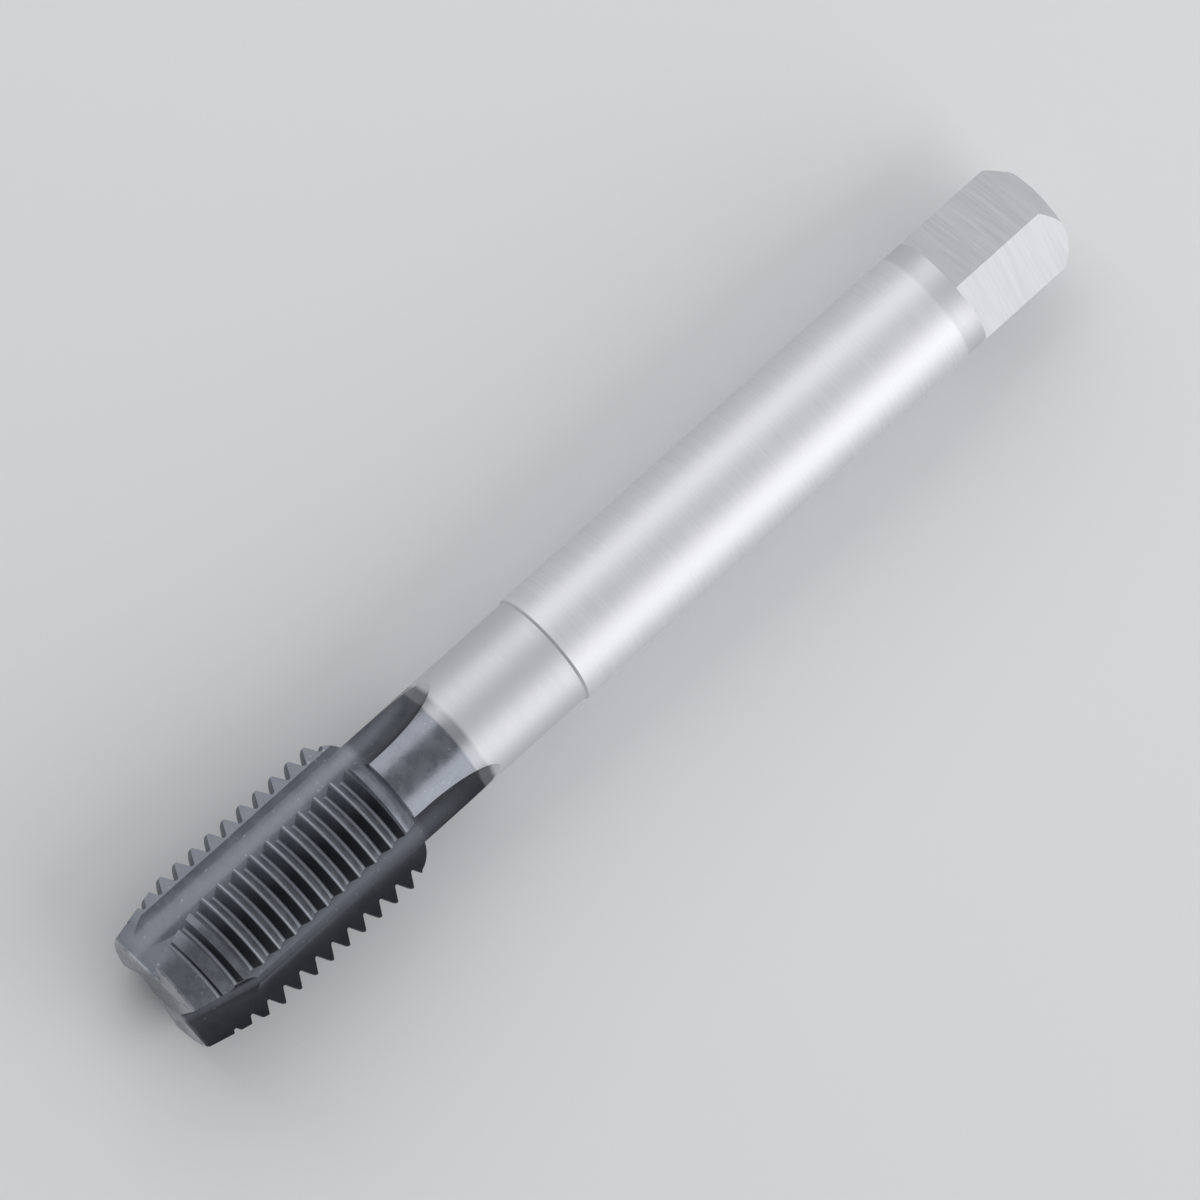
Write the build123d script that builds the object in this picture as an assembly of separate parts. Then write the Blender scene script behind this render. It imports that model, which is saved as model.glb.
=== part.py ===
from build123d import *
import math
import os

# A spiral point machine tap for a 16 mm coarse thread, ground from one round bar of tool steel.
# It lies on its side: the tip points along -X, the driving square along +X, and one land faces up.
# The origin is on the surface that it lies on, below the middle of its length.
# Stations are distances along the axis from the tip. Turns are degrees about the axis from the top,
# growing towards -Y, the way the right-hand thread climbs.

# Whole tap
overall_length = 110.0

# Thread
thread_diameter = 16.5
thread_pitch = 2.0
thread_flank_angle = 30.0
crest_flat = 0.18
root_flat = 0.1
crest_station = 1.45

# Cutting head
head_length = 27.6
lead_length = 7.2
tip_diameter = 13.4
tip_bevel = 0.2
back_bevel_length = 0.5
back_bevel_drop = 0.7
back_round_length = 1.9
back_round_bulge = 0.28
plain_back_length = 1.5
land_relief = 0.2

# Flutes
flute_count = 3
land_width_angle = 60.0
flute_core_diameter = 8.0
flute_bottom_radius = 3.4
flute_past_head = 9.5
grinding_wheel_radius = 20.0

# Spiral point, a slanting gash at the tip of each flute
gash_core_diameter = 4.4
gash_bottom_radius = 1.0
gash_side_offset = 1.75
gash_rise_angle = 16.4
gash_drift_angle = 2.7
gash_heel_angle = 32.0

# Neck and shank
neck_diameter = 11.6
neck_length = 20.2
neck_step_length = 0.25
shank_diameter = 12.0
relief_step_length = 0.5
relief_diameter = 11.8
relief_length = 2.3
end_bevel = 1.6
end_bevel_bulge = 0.08

# Driving square
square_across_flats = 8.4
square_length = 12.0
square_turn = 49.0

# How far a cutter reaches past the surface that it cuts
overcut = 2.0

# Worked out from the sizes above
thread_radius = thread_diameter / 2
tip_radius = tip_diameter / 2
neck_radius = neck_diameter / 2
shank_radius = shank_diameter / 2
relief_radius = relief_diameter / 2
flank_slope = math.tan(math.radians(thread_flank_angle))
groove_depth = (thread_pitch - crest_flat - root_flat) / 2 / flank_slope
neck_end_station = head_length + neck_length
square_station = overall_length - square_length
relief_station = square_station - relief_length
flute_core_radius = flute_core_diameter / 2
flute_pitch_angle = 360.0 / flute_count
flute_centre_radius = flute_core_radius + flute_bottom_radius
cutting_wall_angle = math.degrees(math.asin(flute_bottom_radius / flute_centre_radius))
flute_turn = flute_pitch_angle - land_width_angle / 2 - cutting_wall_angle
heel_edge_angle = flute_turn - land_width_angle / 2
groove_span_angle = 0.9 * flute_pitch_angle
axis_height = thread_radius * math.cos(math.radians((flute_pitch_angle - land_width_angle) / 2))


def section_plane(station, turn):
    """The plane across the axis at a station, whose local X points outwards at the given turn."""
    angle = math.radians(turn)
    outwards = (0, -math.sin(angle), math.cos(angle))
    return Plane(origin=(station, 0, 0), x_dir=outwards, z_dir=(1, 0, 0))


def polar(radius, degrees):
    """A point of a section plane, at an angle from its local X."""
    angle = math.radians(degrees)
    return (radius * math.cos(angle), radius * math.sin(angle))


def beyond(start, end, times):
    """The point reached from start through end, at that many times their distance."""
    return tuple(a + (b - a) * times for a, b in zip(start, end))


def make_bar():
    """Neck, shank, relief and bevelled driving end, turned on one bar that starts inside the head."""
    bevel_start = (overall_length - end_bevel, relief_radius)
    bevel_end = (overall_length, relief_radius - end_bevel)
    outline = Polyline(
        bevel_end,
        (overall_length, 0),
        (head_length - back_round_length, 0),
        (head_length - back_round_length, neck_radius),
        (neck_end_station - neck_step_length / 2, neck_radius),
        (neck_end_station + neck_step_length / 2, shank_radius),
        (relief_station - relief_step_length / 2, shank_radius),
        (relief_station + relief_step_length / 2, relief_radius),
        bevel_start,
    )
    bevel = SagittaArc(bevel_start, bevel_end, end_bevel_bulge)
    return revolve(make_face(Plane.XZ * Curve([*outline.edges(), bevel])), Axis.X)


def make_head_blank():
    """Head before its grooves: lead cone, full diameter, back bevel and rounding down to the neck."""
    bevel_start = head_length - back_round_length - back_bevel_length
    round_start = (head_length - back_round_length, thread_radius - back_bevel_drop)
    round_end = (head_length, neck_radius)
    outline = Polyline(
        round_end,
        (head_length, 0),
        (0, 0),
        (0, tip_radius - tip_bevel),
        (tip_bevel, tip_radius),
        (lead_length, thread_radius),
        (bevel_start, thread_radius),
        round_start,
    )
    rounding = SagittaArc(round_start, round_end, back_round_bulge)
    return revolve(make_face(Plane.XZ * Curve([*outline.edges(), rounding])), Axis.X)


def make_land(blank, turn):
    """One sector of the head, set off centre so that its surface falls away behind the cutting edge."""
    half_sector = flute_pitch_angle / 2
    reach = 2 * thread_radius
    corners = Polyline((0, 0), polar(reach, -half_sector), polar(reach, half_sector), close=True)
    sector = extrude(section_plane(0, turn) * make_face(corners), head_length)
    offset = land_relief / 2 / math.sin(math.radians(land_width_angle / 2))
    shift = section_plane(0, turn).from_local_coords((-land_relief / 2, -offset))
    return Pos(*shift) * blank & sector


def make_flute_section(station, turn):
    """Ground form of a flute: radial cutting wall, round bottom and bevelled heel."""
    foot_radius = flute_centre_radius * math.cos(math.radians(cutting_wall_angle))
    cutting_foot = polar(foot_radius, cutting_wall_angle)
    cutting_top = polar(thread_radius + overcut, cutting_wall_angle)
    heel_foot = polar(foot_radius, -cutting_wall_angle)
    heel_top = beyond(heel_foot, polar(thread_radius, -heel_edge_angle), 2.0)
    outer = thread_radius + overcut
    bottom = ThreePointArc(cutting_foot, (flute_core_radius, 0), heel_foot)
    sides = Polyline(
        heel_foot, heel_top, (outer, heel_top[1]), (outer, cutting_top[1]), cutting_top, cutting_foot
    )
    return section_plane(station, turn) * make_face(Curve([bottom, *sides.edges()]))


def make_flute(turn):
    """One straight flute, which the grinding wheel leaves along its own radius on the neck."""
    neck_cut = neck_radius - flute_core_radius
    run_out = math.sqrt(grinding_wheel_radius**2 - (grinding_wheel_radius - neck_cut) ** 2)
    straight_end = head_length + flute_past_head - run_out
    straight = extrude(make_flute_section(-overcut, turn), straight_end + overcut)
    plane = section_plane(straight_end, turn)
    wheel_centre = plane.from_local_coords((flute_core_radius + grinding_wheel_radius, 0))
    wheel_axis = Axis(wheel_centre, plane.y_dir)
    rim_height = flute_core_radius + grinding_wheel_radius - shank_radius - overcut / 2
    wheel_angle = math.degrees(math.acos(rim_height / grinding_wheel_radius))
    curved = revolve(make_flute_section(straight_end, turn), wheel_axis, wheel_angle)
    return straight + curved


def make_gash(turn):
    """The slanting cut at the tip that turns the flute's cutting edge and pushes chips forward."""
    centre = Vector(gash_core_diameter / 2 + gash_bottom_radius, gash_side_offset)
    cutting_along = Vector(polar(1, cutting_wall_angle))
    heel_along = Vector(polar(1, gash_heel_angle - 90))
    cutting_foot = centre + cutting_along.rotate(Axis.Z, 90) * gash_bottom_radius
    heel_foot = centre + heel_along.rotate(Axis.Z, -90) * gash_bottom_radius
    bottom = centre - Vector(gash_bottom_radius, 0)
    reach = thread_diameter
    walls = Polyline(
        heel_foot, heel_foot + heel_along * reach, cutting_foot + cutting_along * reach, cutting_foot
    )
    floor = ThreePointArc(cutting_foot, bottom, heel_foot)
    rise = math.tan(math.radians(gash_rise_angle))
    drift = math.tan(math.radians(gash_drift_angle))
    plane = section_plane(0, turn)
    slant = plane.z_dir + plane.x_dir * rise - plane.y_dir * drift
    section = plane * make_face(Curve([floor, *walls.edges()]))
    return extrude(Pos(*(slant * -overcut)) * section, head_length, dir=slant)


def make_groove_pass(station, turn):
    """The stretch of the helical groove that crosses one land, from flute to flute."""
    groove_radius = thread_radius - groove_depth
    margin = crest_flat / 4 / flank_slope
    mouth = thread_pitch / 2 - crest_flat / 4
    climb = thread_pitch * groove_span_angle / 360
    plane = section_plane(station - climb / 2, turn - groove_span_angle / 2)
    path = plane * Helix(thread_pitch, climb, groove_radius)
    outline = Polyline(
        (groove_radius, -root_flat / 2),
        (groove_radius, root_flat / 2),
        (thread_radius + margin, mouth),
        (thread_radius + margin, -mouth),
        close=True,
    )
    return sweep(plane * (Plane.XZ * make_face(outline)), path=path, is_frenet=True)


def make_groove_passes(turn):
    """Every pass of the groove over the land at one turn, from the tip to the plain back."""
    first = crest_station + thread_pitch * (turn / 360 - 0.5)
    count = math.ceil((head_length - plain_back_length - first) / thread_pitch)
    return [make_groove_pass(first + index * thread_pitch, turn) for index in range(count)]


def make_square_waste():
    """What is ground off the end of the shank to leave four flats."""
    plane = section_plane(square_station, square_turn)
    stock = extrude(plane * Rectangle(shank_diameter * 2, shank_diameter * 2), square_length + overcut)
    square = extrude(plane * Rectangle(square_across_flats, square_across_flats), square_length + overcut)
    return stock - square


def make_tap():
    """The whole tap about the X axis, with its tip at station 0."""
    blank = make_head_blank()
    land_turns = [index * flute_pitch_angle for index in range(flute_count)]
    tap = make_bar()
    for turn in land_turns:
        tap += make_land(blank, turn)
    for turn in land_turns:
        tap -= make_flute(turn + flute_turn)
        tap -= make_gash(turn + flute_turn)
    for turn in land_turns:
        tap -= make_groove_passes(turn)
    tap -= make_square_waste()
    return tap


os.makedirs("parts", exist_ok=True)
tap = Pos(-overall_length / 2, 0, axis_height) * make_tap()
export_step(tap, "parts/spiral_point_tap.step")
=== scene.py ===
import math

import bmesh
import bpy
from mathutils import Matrix, Vector


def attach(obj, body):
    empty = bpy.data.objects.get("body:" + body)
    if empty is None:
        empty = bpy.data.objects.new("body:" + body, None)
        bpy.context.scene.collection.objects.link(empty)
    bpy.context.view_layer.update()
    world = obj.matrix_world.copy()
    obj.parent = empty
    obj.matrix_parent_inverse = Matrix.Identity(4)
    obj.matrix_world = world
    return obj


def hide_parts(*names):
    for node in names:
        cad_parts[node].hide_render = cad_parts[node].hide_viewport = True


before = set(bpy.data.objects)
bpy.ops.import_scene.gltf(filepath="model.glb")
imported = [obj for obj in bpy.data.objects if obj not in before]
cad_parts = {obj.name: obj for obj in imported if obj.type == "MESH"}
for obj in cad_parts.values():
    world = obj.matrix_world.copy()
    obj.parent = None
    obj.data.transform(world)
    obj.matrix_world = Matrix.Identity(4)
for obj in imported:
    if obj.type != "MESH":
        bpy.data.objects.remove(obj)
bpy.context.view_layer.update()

# The bar: high-speed steel, turned with the blank of the cutting head, the neck, the shank, the relief and
# the bevelled end on it, then hardened and ground round. Half its outline is drawn and spun about the axis.
# Places along it are stations, counted from the tip, and all that follows is ground out of it.
mm = 0.001
overall_length = 110.0 * mm
head_length = 27.6 * mm
lead_length = 7.2 * mm
thread_radius = 8.25 * mm
tip_radius = 6.7 * mm
tip_bevel = 0.2 * mm
back_bevel_start = 25.2 * mm
back_round_start = 25.7 * mm
back_round_radius = 7.55 * mm
back_round_bulge = 0.28 * mm
back_round_steps = 10
neck_radius = 5.8 * mm
neck_end = 47.8 * mm
neck_step_half = 0.125 * mm
shank_radius = 6.0 * mm
shank_end = 95.7 * mm
relief_radius = 5.9 * mm
relief_step_half = 0.25 * mm
end_bevel = 1.6 * mm
turn_steps = 120
doubles = 0.001 * mm


def polar(radius, angle):
    """Outward and sideways distances of a point at an angle from the outward direction."""
    return Vector((radius * math.cos(angle), radius * math.sin(angle)))


def arc_points(centre, radius, first, last, steps):
    """Points of a circular arc from one angle to another, both ends included."""
    return [centre + polar(radius, first + (last - first) * i / steps) for i in range(steps + 1)]


def draw(name, points, closed=True):
    """An outline drawn from point to point by pulling one vertex along, and filled if it is closed."""
    bpy.ops.object.select_all(action="DESELECT")
    bpy.ops.mesh.primitive_plane_add(size=mm, location=points[0])
    piece = bpy.context.object
    piece.name = name
    bpy.ops.object.mode_set(mode="EDIT")
    bpy.ops.mesh.select_all(action="SELECT")
    bpy.ops.mesh.merge(type="CENTER")
    for start, end in zip(points, points[1:]):
        bpy.ops.mesh.extrude_vertices_move(TRANSFORM_OT_translate={"value": end - start})
    bpy.ops.mesh.select_all(action="SELECT")
    if closed:
        bpy.ops.mesh.edge_face_add()
    return piece


def close_up():
    """Ends the shaping of the piece in edit mode as a closed shell whose faces point outwards."""
    bpy.ops.mesh.select_all(action="SELECT")
    bpy.ops.mesh.remove_doubles(threshold=doubles)
    bpy.ops.mesh.normals_make_consistent(inside=False)
    bpy.ops.object.mode_set(mode="OBJECT")
    bpy.ops.object.transform_apply(location=True, rotation=True, scale=True)


# The rounding from the head down to the neck is an arc that stands so far out from its chord.
chord = Vector((head_length - back_round_start, neck_radius - back_round_radius))
bulge_radius = (chord.length**2 / 4 + back_round_bulge**2) / 2 / back_round_bulge
chord_middle = Vector((back_round_start, back_round_radius)) + chord / 2
inwards = Vector((chord.y, -chord.x)).normalized()
bulge_centre = chord_middle + inwards * (bulge_radius - back_round_bulge)
first_spoke = Vector((back_round_start, back_round_radius)) - bulge_centre
last_spoke = Vector((head_length, neck_radius)) - bulge_centre
first_angle = math.atan2(first_spoke.y, first_spoke.x)
last_angle = math.atan2(last_spoke.y, last_spoke.x)
profile = [
    Vector((0, 0)),
    Vector((0, tip_radius - tip_bevel)),
    Vector((tip_bevel, tip_radius)),
    Vector((lead_length, thread_radius)),
    Vector((back_bevel_start, thread_radius)),
    *arc_points(bulge_centre, bulge_radius, first_angle, last_angle, back_round_steps),
    Vector((neck_end - neck_step_half, neck_radius)),
    Vector((neck_end + neck_step_half, shank_radius)),
    Vector((shank_end - relief_step_half, shank_radius)),
    Vector((shank_end + relief_step_half, relief_radius)),
    Vector((overall_length - end_bevel, relief_radius)),
    Vector((overall_length, relief_radius - end_bevel)),
    Vector((overall_length, 0)),
]
tap = draw("spiral_point_tap_ground", [Vector((p.x, 0, p.y)) for p in profile], closed=False)
bpy.ops.mesh.spin(steps=turn_steps, angle=math.tau, center=(0, 0, 0), axis=(1, 0, 0))
close_up()

# The bar's finish: satin ground steel, pale with a soft sheen and fine rings, and a shade less bright below
# the shank. From the tip to the middle of the neck a hard coating lies on it, laid on in a vacuum chamber:
# slate, cloudy, strewn with droplets, thin over its last millimetre, and worn on the end face. Its crests are
# painted paler, as worn coating and a painted highlight.
lower_steel, crest_coat, worn_coat = "#d0d0d3", "#9fa3ab", "#b4b7be"
# Colours of painted shade, laid over the coating on one side of the tap and along the neck
shadow_coat, neck_shadow_coat = "#24262b", "#2a2c31"

# It lies on two of its three lands, which are so wide and so far apart, and that sets its axis's height.
land_angle = math.radians(60)
flute_angle = math.radians(120)
axis_height = thread_radius * math.cos((flute_angle - land_angle) / 2)

# Stations between which the coating thins, and between which it ends
coat_full, coat_thin = 34.65 * mm, 35.0 * mm
coat_end, coat_gone = 35.7 * mm, 36.3 * mm

# Distances from the axis between which the steel gets as bright as the shank, and the crests turn pale with
# worn coating and a painted highlight
lower_radius, raised_radius = 5.91 * mm, 5.97 * mm
unworn_radius, worn_radius = 7.95 * mm, 8.15 * mm
crest_wear_and_highlight = 0.6

# The end face's wear stops so far behind the tip, and leaves out the core
face_worn, face_unworn = 0.1 * mm, 0.3 * mm
core_radius, rim_radius = 2.2 * mm, 3.0 * mm
face_wear = 0.8

# Where a finish has painted shade on one side, the neck gets part of that painted shade all round, in full
# from here on
neck_shadow_full = 28.6 * mm
neck_shadow_part = 0.6

# A real droplet is about a hundredth of a millimetre wide and a real grinding mark a few hundredths. Both
# are too fine to show, so the droplets are drawn up to 0.3 mm wide and the marks 0.22 mm wide.
cloud_size = 1.6 * mm
droplet_spacing = 0.6 * mm
droplet_core, droplet_rim = 0.05, 0.28
droplet_chance, droplet_strength = 0.6, 0.5
fine_rings = (0.22 * mm, 9.0 * mm, 0.0008 * mm)

# Values of the noise between which the clouds, the streaks and the worn patches come up, and the
# roughness that the clouds and the streaks add or take away
cloud_low, cloud_high = 0.36, 0.64
streak_low, streak_high = 0.3, 0.7
patch_low, patch_high = 0.3, 0.62
cloud_roughness, streak_roughness = 0.03, 0.02


def linear(code):
    """An sRGB hex colour as the linear values that a shader takes."""
    parts = [int(code[i:i + 2], 16) / 255 for i in (1, 3, 5)]
    return [c / 12.92 if c <= 0.04045 else ((c + 0.055) / 1.055) ** 2.4 for c in parts] + [1.0]


def add_node(tree, kind, links, values=None, **properties):
    """Adds one node with its properties, its linked inputs and its constant inputs, by name or number."""
    node = tree.nodes.new(kind)
    for name, value in properties.items():
        setattr(node, name, value)
    for key, output in links.items():
        tree.links.new(output, node.inputs[key])
    for key, value in (values or {}).items():
        node.inputs[key].default_value = value
    return node


def ground_steel(
    name, steel_shades=("#dadadd", "#e0e0e3"), steel_roughness=0.56, lowered=1.0,
    coat_shades=("#71757d", "#7d8189"), coat_roughness=0.28, coat_reach=0.0, thin_cover=0.58,
    marks_size=fine_rings, shadow=0.0, shadow_full=-8.0 * mm, shadow_gone=0.5 * mm,
):
    """Ground steel under the hard coating, as it is on the bar except for what is given.

    Shades run from dark to pale, and marks_size is a mark's size along the axis, across it and in depth.
    The coating reaches further than on the bar by coat_reach, and hides thin_cover of the steel where it is
    thin. shadow is a painted shade that darkens the coating on one side and fades out on the way across the
    tap.
    """
    material = bpy.data.materials.new(name)
    material.use_nodes = True
    tree = material.node_tree
    shader = tree.nodes["Principled BSDF"]
    shader.inputs["Metallic"].default_value = 1.0

    # Where a point lies: along the tap from its middle, across it, and outwards from its axis
    place = add_node(tree, "ShaderNodeTexCoord", {}).outputs["Object"]
    split = add_node(tree, "ShaderNodeSeparateXYZ", {"Vector": place})
    along, sideways = split.outputs["X"], split.outputs["Y"]
    from_axis = add_node(
        tree, "ShaderNodeVectorMath", {0: place}, {1: (0, 0, axis_height)}, operation="SUBTRACT"
    ).outputs["Vector"]
    flattened = add_node(
        tree, "ShaderNodeVectorMath", {0: from_axis}, {1: (0, 1, 1)}, operation="MULTIPLY"
    ).outputs["Vector"]
    outwards = add_node(tree, "ShaderNodeVectorMath", {0: flattened}, operation="LENGTH").outputs["Value"]

    # The patterns: marks as noise stretched to their size, clouds as noise, droplets as the middles of cells
    mark_along, mark_across, mark_depth = marks_size
    scales = (1 / mark_along, 1 / mark_across, 1 / mark_across)
    stretched = add_node(tree, "ShaderNodeMapping", {"Vector": place}, {"Scale": scales}).outputs["Vector"]
    marks = add_node(
        tree, "ShaderNodeTexNoise", {"Vector": stretched}, {"Scale": 1.0, "Detail": 4.0, "Roughness": 0.6}
    ).outputs["Fac"]
    clouds = add_node(
        tree, "ShaderNodeTexNoise", {"Vector": place},
        {"Scale": 1 / cloud_size, "Detail": 4.0, "Roughness": 0.65},
    ).outputs["Fac"]
    cells = add_node(tree, "ShaderNodeTexVoronoi", {"Vector": place}, {"Scale": 1 / droplet_spacing})
    chance = add_node(tree, "ShaderNodeSeparateColor", {"Color": cells.outputs["Color"]}).outputs["Red"]

    # How much of each shows: a value that is followed from one limit to another, and what it gives at each
    middle = overall_length / 2
    edge = coat_reach - middle
    coat_low, coat_high = coat_roughness - cloud_roughness, coat_roughness + cloud_roughness
    steel_low, steel_high = steel_roughness - streak_roughness, steel_roughness + streak_roughness
    amount = {}
    for part, followed, start, end, low, high in (
        ("full_coat", along, coat_full + edge, coat_thin + edge, 1 - thin_cover, 0.0),
        ("thin_coat", along, coat_end + edge, coat_gone + edge, thin_cover, 0.0),
        ("lower", outwards, lower_radius, raised_radius, lowered, 0.0),
        ("crest", outwards, unworn_radius, worn_radius, 0.0, crest_wear_and_highlight),
        ("front", along, face_worn - middle, face_unworn - middle, 1.0, 0.0),
        ("rim", outwards, core_radius, rim_radius, 0.0, 1.0),
        ("patch", clouds, patch_low, patch_high, 0.0, face_wear),
        ("shadow", sideways, shadow_full, shadow_gone, shadow, 0.0),
        ("neck", along, head_length - middle, neck_shadow_full - middle, 0.0, shadow * neck_shadow_part),
        ("cloud", clouds, cloud_low, cloud_high, 0.0, 1.0),
        ("streak", marks, streak_low, streak_high, 0.0, 1.0),
        ("spot", cells.outputs["Distance"], droplet_core, droplet_rim, 1.0, 0.0),
        ("kept", chance, droplet_chance, 1.0, 0.0, droplet_strength),
        ("coat_rough", clouds, cloud_low, cloud_high, coat_low, coat_high),
        ("steel_rough", marks, streak_low, streak_high, steel_low, steel_high),
    ):
        limits = {"From Min": start, "From Max": end, "To Min": low, "To Max": high}
        eased = add_node(
            tree, "ShaderNodeMapRange", {"Value": followed}, limits, interpolation_type="SMOOTHSTEP"
        )
        amount[part] = eased.outputs["Result"]
    for part, operation, first, second in (
        ("coat", "ADD", "full_coat", "thin_coat"),
        ("droplet", "MULTIPLY", "spot", "kept"),
        ("front_rim", "MULTIPLY", "front", "rim"),
        ("worn", "MULTIPLY", "front_rim", "patch"),
    ):
        joined = add_node(tree, "ShaderNodeMath", {0: amount[first], 1: amount[second]}, operation=operation)
        amount[part] = joined.outputs["Value"]

    # The colours: the coating's shades with what lies over them, painted highlight and painted shade
    # included, the steel's, and one on top of the other
    dark, pale = (linear(shade) for shade in coat_shades)
    coat = add_node(
        tree, "ShaderNodeMix", {"Factor": amount["cloud"]}, {6: dark, 7: pale}, data_type="RGBA"
    ).outputs[2]
    for part, shade in (
        ("droplet", worn_coat), ("crest", crest_coat), ("worn", worn_coat),
        ("neck", neck_shadow_coat), ("shadow", shadow_coat),
    ):
        coat = add_node(
            tree, "ShaderNodeMix", {"Factor": amount[part], 6: coat}, {7: linear(shade)}, data_type="RGBA"
        ).outputs[2]
    dark, pale = (linear(shade) for shade in steel_shades)
    steel = add_node(
        tree, "ShaderNodeMix", {"Factor": amount["streak"]}, {6: dark, 7: pale}, data_type="RGBA"
    ).outputs[2]
    steel = add_node(
        tree, "ShaderNodeMix", {"Factor": amount["lower"], 6: steel}, {7: linear(lower_steel)},
        data_type="RGBA",
    ).outputs[2]
    colour = add_node(
        tree, "ShaderNodeMix", {"Factor": amount["coat"], 6: steel, 7: coat}, data_type="RGBA"
    ).outputs[2]
    tree.links.new(colour, shader.inputs["Base Color"])

    # The gloss, and the relief that the marks and the droplets have
    roughness = add_node(
        tree, "ShaderNodeMix", {0: amount["coat"], 2: amount["steel_rough"], 3: amount["coat_rough"]},
        data_type="FLOAT",
    ).outputs[0]
    tree.links.new(roughness, shader.inputs["Roughness"])
    height = add_node(tree, "ShaderNodeMath", {0: amount["droplet"], 1: marks}, operation="ADD")
    bump = add_node(
        tree, "ShaderNodeBump", {"Height": height.outputs["Value"]}, {"Strength": 1.0, "Distance": mark_depth}
    )
    tree.links.new(bump.outputs["Normal"], shader.inputs["Normal"])
    return material


round_finish = ground_steel("satin_ground_steel_and_hard_coating")
tap.data.materials.append(round_finish)

# The lands: the three ridges of the head that carry the thread, ground so that each falls away behind its
# cutting edge. Each third of the head is set off centre, which gives that fall. The middle of the end face
# stays where it is, and so does everything behind the head.
land_count = 3
land_relief = 0.2 * mm
fixed_radius = 1.0 * mm
head_margin = 0.01 * mm


def across(station, turn, outwards, sideways=0.0):
    """A point in the plane across the axis at a station: so far outwards at a turn, and so far sideways."""
    c, s = math.cos(turn), math.sin(turn)
    return Vector((station, -s * outwards - c * sideways, c * outwards - s * sideways))


def set_off_lands(piece, last_station):
    """Moves the vertices of each third of a turn, up to a station, off centre with their land."""
    bpy.ops.object.mode_set(mode="EDIT")
    bpy.ops.mesh.select_mode(type="VERT")
    for land in range(land_count):
        turn = land * flute_angle
        shell = bmesh.from_edit_mesh(piece.data)
        for vertex in shell.verts:
            v = vertex.co
            apart = (math.atan2(-v.y, v.z) - turn + flute_angle / 2) % math.tau
            vertex.select_set(apart < flute_angle and v.x < last_station and v.yz.length > fixed_radius)
        shell.select_flush_mode()
        bmesh.update_edit_mesh(piece.data)
        fall = across(0, turn, -land_relief / 2, -land_relief / 2 / math.sin(land_angle / 2))
        bpy.ops.transform.translate(value=fall)
    bpy.ops.object.mode_set(mode="OBJECT")


set_off_lands(tap, head_length - head_margin)

# The driving square: four flats that a grinding wheel takes off the end of the shank, by which a wrench or
# a holder turns the tap. A block of waste is cut off on each side. The flats are bare steel, glossier and
# a little paler than the shank, so that each shows one even tone with faint marks across it.
square_start = 98.0 * mm
square_across_flats = 8.4 * mm
square_turn = math.radians(49)
square_sides = 4
overcut = 2.0 * mm
square_finish = ground_steel(
    "flat_ground_steel_square", steel_shades=("#e0e0e3", "#e6e6e9"), steel_roughness=0.3, lowered=0.0
)


def cut_away(piece, cutter, *finishes):
    """Cuts one closed shell out of another, leaves its finishes on the cut, and throws the cutter away."""
    for finish in finishes:
        cutter.data.materials.append(finish)
    bpy.ops.object.select_all(action="DESELECT")
    piece.select_set(True)
    bpy.context.view_layer.objects.active = piece
    cut = piece.modifiers.new("cut", "BOOLEAN")
    cut.operation = "DIFFERENCE"
    cut.solver = "EXACT"
    cut.material_mode = "TRANSFER"
    cut.object = cutter
    bpy.ops.object.modifier_apply(modifier=cut.name)
    bpy.data.objects.remove(cutter)


flat_height = square_across_flats / 2
waste_reach = shank_radius * 2
waste_length = overall_length - square_start + overcut
waste_corners = [
    (flat_height, -waste_reach),
    (waste_reach, -waste_reach),
    (waste_reach, waste_reach),
    (flat_height, waste_reach),
]
for side in range(square_sides):
    turn = square_turn + side * math.tau / square_sides
    waste = draw("square_waste", [across(square_start, turn, a, b) for a, b in waste_corners])
    bpy.ops.mesh.extrude_region_move(TRANSFORM_OT_translate={"value": (waste_length, 0, 0)})
    close_up()
    cut_away(tap, waste, square_finish)

# The flutes and the spiral point: three straight grooves with a radial cutting wall, a round bottom and a
# bevelled heel, each with a slanting gash at its tip that pushes the chips forward. A wheel grinds them into
# the bar, so here a cutter of its section is cut out, and its radius brings each flute out on the neck.
flute_core_radius = 4.0 * mm
flute_bottom_radius = 3.4 * mm
flute_bottom_steps = 20
flute_end = 37.1 * mm
heel_reach = 2
wheel_radius = 20.0 * mm
wheel_steps = 32
wheel_clearance = 1.0 * mm
gash_core_radius = 2.2 * mm
gash_bottom_radius = 1.0 * mm
gash_bottom_steps = 16
gash_offset = 1.75 * mm
gash_rise = math.radians(16.4)
gash_drift = math.radians(2.7)
gash_heel_angle = math.radians(32)

# Their finish: rough-ground, with long marks, under a slate coating with painted shade, which darkens it to
# nearly black towards -Y and along the neck.
long_marks = (3.0 * mm, 0.22 * mm, 0.004 * mm)
flute_finish = ground_steel(
    "rough_ground_flute_under_hard_coating_with_painted_shade", steel_roughness=0.55, coat_roughness=0.44,
    coat_reach=0.3 * mm, thin_cover=0.76, marks_size=long_marks, shadow=0.85,
)

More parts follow.
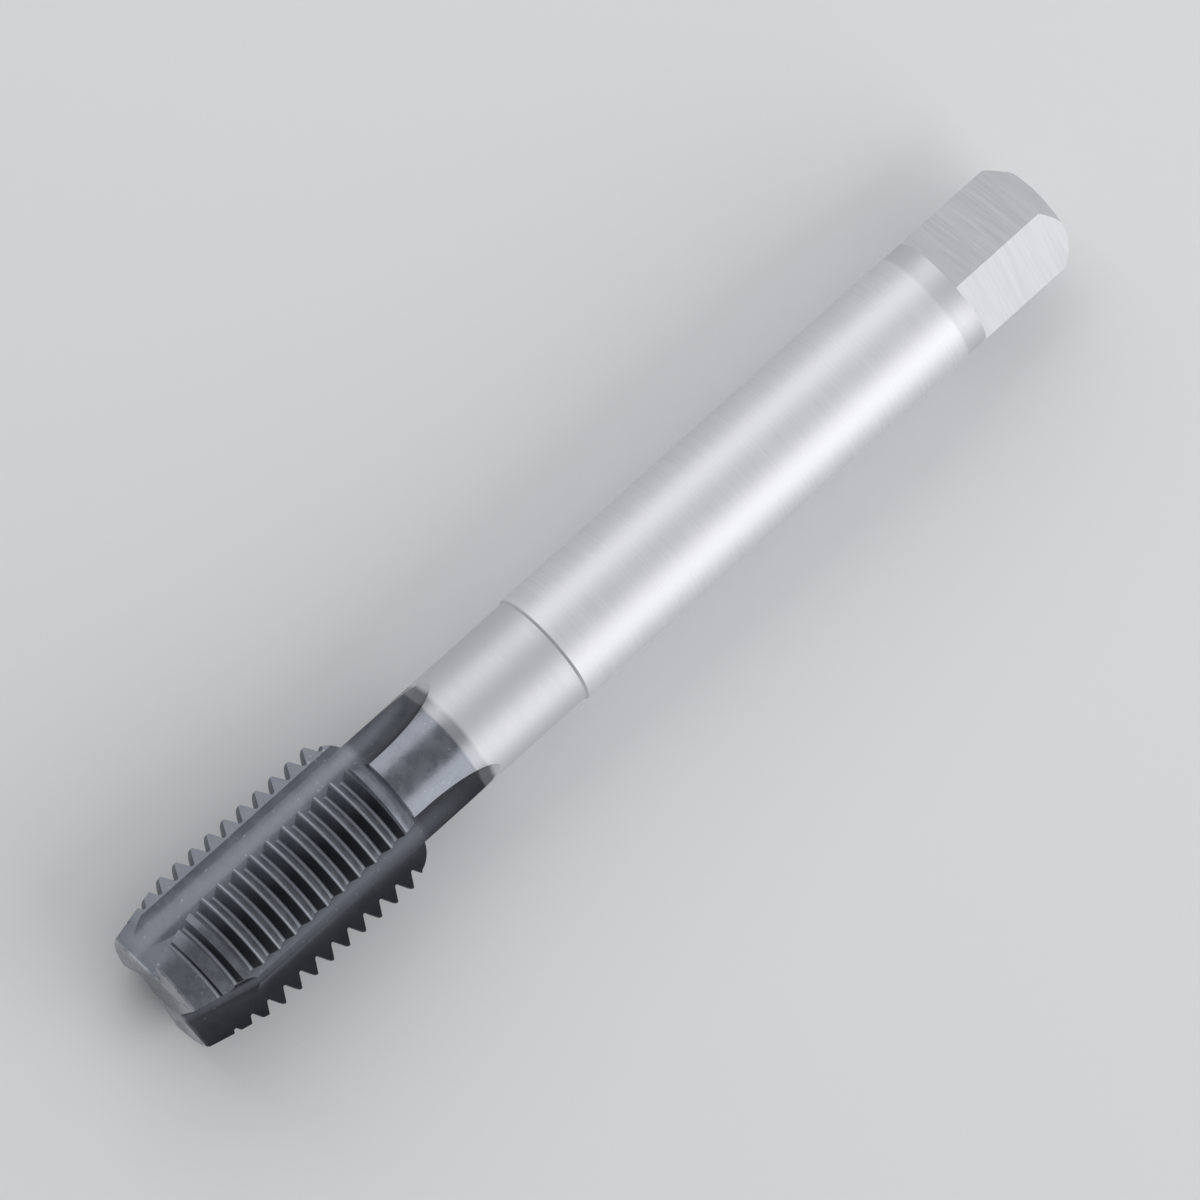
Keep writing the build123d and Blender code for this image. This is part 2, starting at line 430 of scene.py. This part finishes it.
flute_centre_radius = flute_core_radius + flute_bottom_radius
wall_angle = math.asin(flute_bottom_radius / flute_centre_radius)
flute_turn = flute_angle - land_angle / 2 - wall_angle
heel_angle = flute_turn - land_angle / 2
foot_radius = flute_centre_radius * math.cos(wall_angle)
heel_foot = polar(foot_radius, -wall_angle)
heel_top = heel_foot + (polar(thread_radius, -heel_angle) - heel_foot) * heel_reach
cutting_top = polar(thread_radius + overcut, wall_angle)
flute_centre = Vector((flute_centre_radius, 0))
outer = thread_radius + overcut
bottom_half = math.pi / 2 - wall_angle
flute_first, flute_last = math.pi + bottom_half, math.pi - bottom_half
flute = [
    heel_top,
    *arc_points(flute_centre, flute_bottom_radius, flute_first, flute_last, flute_bottom_steps),
    cutting_top,
    Vector((outer, cutting_top.y)),
    Vector((outer, heel_top.y)),
]
rise = neck_radius - flute_core_radius
flute_straight = flute_end - math.sqrt(wheel_radius**2 - (wheel_radius - rise) ** 2)
wheel_height = flute_core_radius + wheel_radius - shank_radius - wheel_clearance
wheel_angle = math.acos(wheel_height / wheel_radius)

gash_centre = Vector((gash_core_radius + gash_bottom_radius, gash_offset))
cutting_along = polar(1, wall_angle)
heel_along = polar(1, gash_heel_angle - math.pi / 2)
gash_reach = thread_radius * 2
gash_first = gash_heel_angle - math.pi
gash_last = wall_angle + math.pi / 2 - math.tau
gash_floor = arc_points(gash_centre, gash_bottom_radius, gash_first, gash_last, gash_bottom_steps)
gash = [gash_floor[0] + heel_along * gash_reach, *gash_floor, gash_floor[-1] + cutting_along * gash_reach]

for number in range(land_count):
    turn = flute_turn + number * flute_angle
    cutter = draw("flute", [across(-overcut, turn, p.x, p.y) for p in flute])
    bpy.ops.mesh.extrude_region_move(TRANSFORM_OT_translate={"value": (flute_straight + overcut, 0, 0)})
    bpy.ops.mesh.spin(
        steps=wheel_steps, angle=-wheel_angle,
        center=across(flute_straight, turn, flute_core_radius + wheel_radius),
        axis=across(0, turn, 0, 1),
    )
    close_up()
    cut_away(tap, cutter, flute_finish)

    slant = across(1, turn, math.tan(gash_rise), -math.tan(gash_drift))
    cutter = draw("gash", [across(0, turn, p.x, p.y) - slant * overcut for p in gash])
    bpy.ops.mesh.extrude_region_move(TRANSFORM_OT_translate={"value": slant * head_length})
    close_up()
    cut_away(tap, cutter, flute_finish)

# The thread: a right-hand helical groove ground into the lands, with a rounded bottom, and flanks that roll
# over into the crests. A screwed outline is cut out of the head, and it stops in the last flute before the
# plain back. The coating on it is duller than on the bar and painted paler as painted light, and the flanks
# that face the tip keep the bar's darker slate with painted shade, darkest towards -Y.
thread_pitch = 2.0 * mm
flank_angle = math.radians(30)
crest_station = 1.45 * mm
crest_rounding = 0.16 * mm
root_rounding = 0.24 * mm
rounding_steps = 5
groove_radius = 6.94 * mm
groove_turns = 14
pitches_ahead = 1.5
tip_flank_normal = 0.8
thread_finish = ground_steel(
    "ground_thread_under_hard_coating_with_painted_light", coat_shades=("#888c94", "#94989f"), coat_roughness=0.62
)
thread_painted_shade_finish = ground_steel(
    "ground_thread_with_painted_shade", coat_roughness=0.55,
    shadow=0.85, shadow_full=-0.5 * mm, shadow_gone=3.8 * mm,
)

bottom_centre = groove_radius + root_rounding
bottom_angles = [(math.pi / 2 - flank_angle) * i / rounding_steps for i in range(1, rounding_steps + 1)]
flank_foot = Vector((
    root_rounding * math.cos(flank_angle), bottom_centre - root_rounding * math.sin(flank_angle)
))
crest_height = thread_radius - crest_rounding * (1 - math.sin(flank_angle))
flank_top = Vector((flank_foot.x + (crest_height - flank_foot.y) * math.tan(flank_angle), crest_height))
crest_centre = flank_top + Vector((math.cos(flank_angle), -math.sin(flank_angle))) * crest_rounding
half_groove = [
    *[Vector((root_rounding * math.sin(a), bottom_centre - root_rounding * math.cos(a)))
      for a in bottom_angles],
    *arc_points(crest_centre, crest_rounding, math.pi - flank_angle, math.pi / 2, rounding_steps),
    Vector((crest_centre.x, thread_radius + overcut)),
]
groove = [Vector((-p.x, p.y)) for p in reversed(half_groove)] + [Vector((0, groove_radius))] + half_groove
start_turn = -flute_angle / 2
start_station = crest_station - thread_pitch * pitches_ahead + thread_pitch * start_turn / math.tau
cutter = draw("thread_groove", [across(start_station + p.x, start_turn, p.y) for p in groove])
bpy.ops.object.mode_set(mode="OBJECT")
bpy.ops.object.transform_apply(location=True, rotation=True, scale=True)
screw = cutter.modifiers.new("thread", "SCREW")
screw.axis = "X"
screw.angle = math.tau
screw.screw_offset = thread_pitch
screw.iterations = groove_turns
screw.steps = screw.render_steps = turn_steps
bpy.ops.object.modifier_apply(modifier=screw.name)
bpy.ops.object.mode_set(mode="EDIT")
bpy.ops.mesh.select_all(action="SELECT")
bpy.ops.mesh.remove_doubles(threshold=doubles)
bpy.ops.mesh.select_all(action="SELECT")
bpy.ops.mesh.fill_holes(sides=0)
close_up()
set_off_lands(cutter, overall_length)
# What faces the driving end on the cutter leaves a flank that faces the tip, and it gets the finish with
# painted shade.
for face in cutter.data.polygons:
    face.material_index = int(face.normal.x > tip_flank_normal)
cut_away(tap, cutter, thread_finish, thread_painted_shade_finish)

# The finished tap: one piece of steel, laid down on two of its lands with the third facing up, and the
# middle of its length over the origin. It stands for the plain solid. Its turned and ground rounds are
# shaded smooth, and its edges stay sharp.
smooth_angle = math.radians(18)
bpy.ops.object.select_all(action="DESELECT")
tap.select_set(True)
bpy.context.view_layer.objects.active = tap
tap.location = (-overall_length / 2, 0, axis_height)
bpy.ops.object.transform_apply(location=True, rotation=True, scale=True)
bpy.ops.object.shade_smooth_by_angle(angle=smooth_angle)
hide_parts("spiral_point_tap")
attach(tap, "root")

# The floor: a plain board painted matt and pale, under the tap. It isn't part of the object, and runs far
# beyond the picture on every side.
floor_size = 12.0
board_shade = "#e6e7e8"
board_roughness = 0.9
bpy.ops.object.select_all(action="DESELECT")
bpy.ops.mesh.primitive_plane_add(size=floor_size, location=(0, 0, 0))
floor = bpy.context.object
floor.name = "floor"
board = bpy.data.materials.new("matt_painted_board")
board.use_nodes = True
board.node_tree.nodes["Principled BSDF"].inputs["Base Color"].default_value = linear(board_shade)
board.node_tree.nodes["Principled BSDF"].inputs["Roughness"].default_value = board_roughness
floor.data.materials.append(board)

# The camera: it looks down on the tap from a little ahead of it, through a long lens from 3 m away, so that
# near and far parts keep their proportions. The tap runs up through the picture from the lower left.
camera_tilt = math.radians(11.5)
camera_turn = math.radians(-0.85)
camera_distance = 3.0
picture_angle = math.radians(41.93)
picture_width = 110.0 * mm
aim_left = 0.08 * mm
aim_below = 0.11 * mm
back = across(-math.sin(camera_tilt), camera_turn, math.cos(camera_tilt))
along = Vector((1, 0, 0)) - back * back.x
along.normalize()
beside = along.cross(back)
right = along * math.cos(picture_angle) + beside * math.sin(picture_angle)
up = along * math.sin(picture_angle) - beside * math.cos(picture_angle)
camera_data = bpy.data.cameras.new("camera")
camera = bpy.data.objects.new("camera", camera_data)
bpy.context.scene.collection.objects.link(camera)
camera_data.sensor_width = 36.0
camera_data.lens = camera_data.sensor_width * camera_distance / picture_width
camera_data.clip_start = 0.1
camera_data.clip_end = 20.0
aim = Vector((0, 0, axis_height)) - right * aim_left - up * aim_below
turned = Matrix((right, up, back)).transposed().to_4x4()
turned.translation = aim + back * camera_distance
camera.matrix_world = turned
bpy.context.scene.camera = camera

# The lights: two long soft boxes lie along the tap, one on each side of the camera, with a dim one between
# them, in a pale room. They are set towards the driving end, so that what slopes to the tip, such as the
# lead, stays dark. A weak one beyond the driving end brings out the rounded back of the head.
box_length = 1.1
box_distance = 0.9
room_shade = "#f4f5f7"
room_strength = 0.45
along_tap, across_tap = Vector((1, 0, 0)), Vector((0, 1, 0))
boxes = (
    # name, turn round the axis and lean to the driving end in degrees, way it lies, watts, width, shift
    ("left_box", -49, 0, along_tap, 3.0, 0.66, 0.3),
    ("right_box", 62, 0, along_tap, 5.4, 0.95, 0.5),
    ("top_box", 0, 0, along_tap, 0.8, 0.9, 0.75),
    ("end_box", 0, 68, across_tap, 0.8, 0.45, 0.0),
)
for name, turn, lean, lengthways, watts, width, shift in boxes:
    light_data = bpy.data.lights.new(name, "AREA")
    light_data.shape = "RECTANGLE"
    light_data.size = box_length
    light_data.size_y = width
    light_data.energy = watts
    light = bpy.data.objects.new(name, light_data)
    bpy.context.scene.collection.objects.link(light)
    outwards = across(math.sin(math.radians(lean)), math.radians(turn), math.cos(math.radians(lean)))
    turned = Matrix((lengthways, outwards.cross(lengthways), outwards)).transposed().to_4x4()
    turned.translation = outwards * box_distance + Vector((shift, 0, axis_height))
    light.matrix_world = turned
world = bpy.data.worlds.new("pale_room")
world.use_nodes = True
world.node_tree.nodes["Background"].inputs["Color"].default_value = linear(room_shade)
world.node_tree.nodes["Background"].inputs["Strength"].default_value = room_strength
bpy.context.scene.world = world
bpy.context.scene.view_settings.view_transform = "Standard"
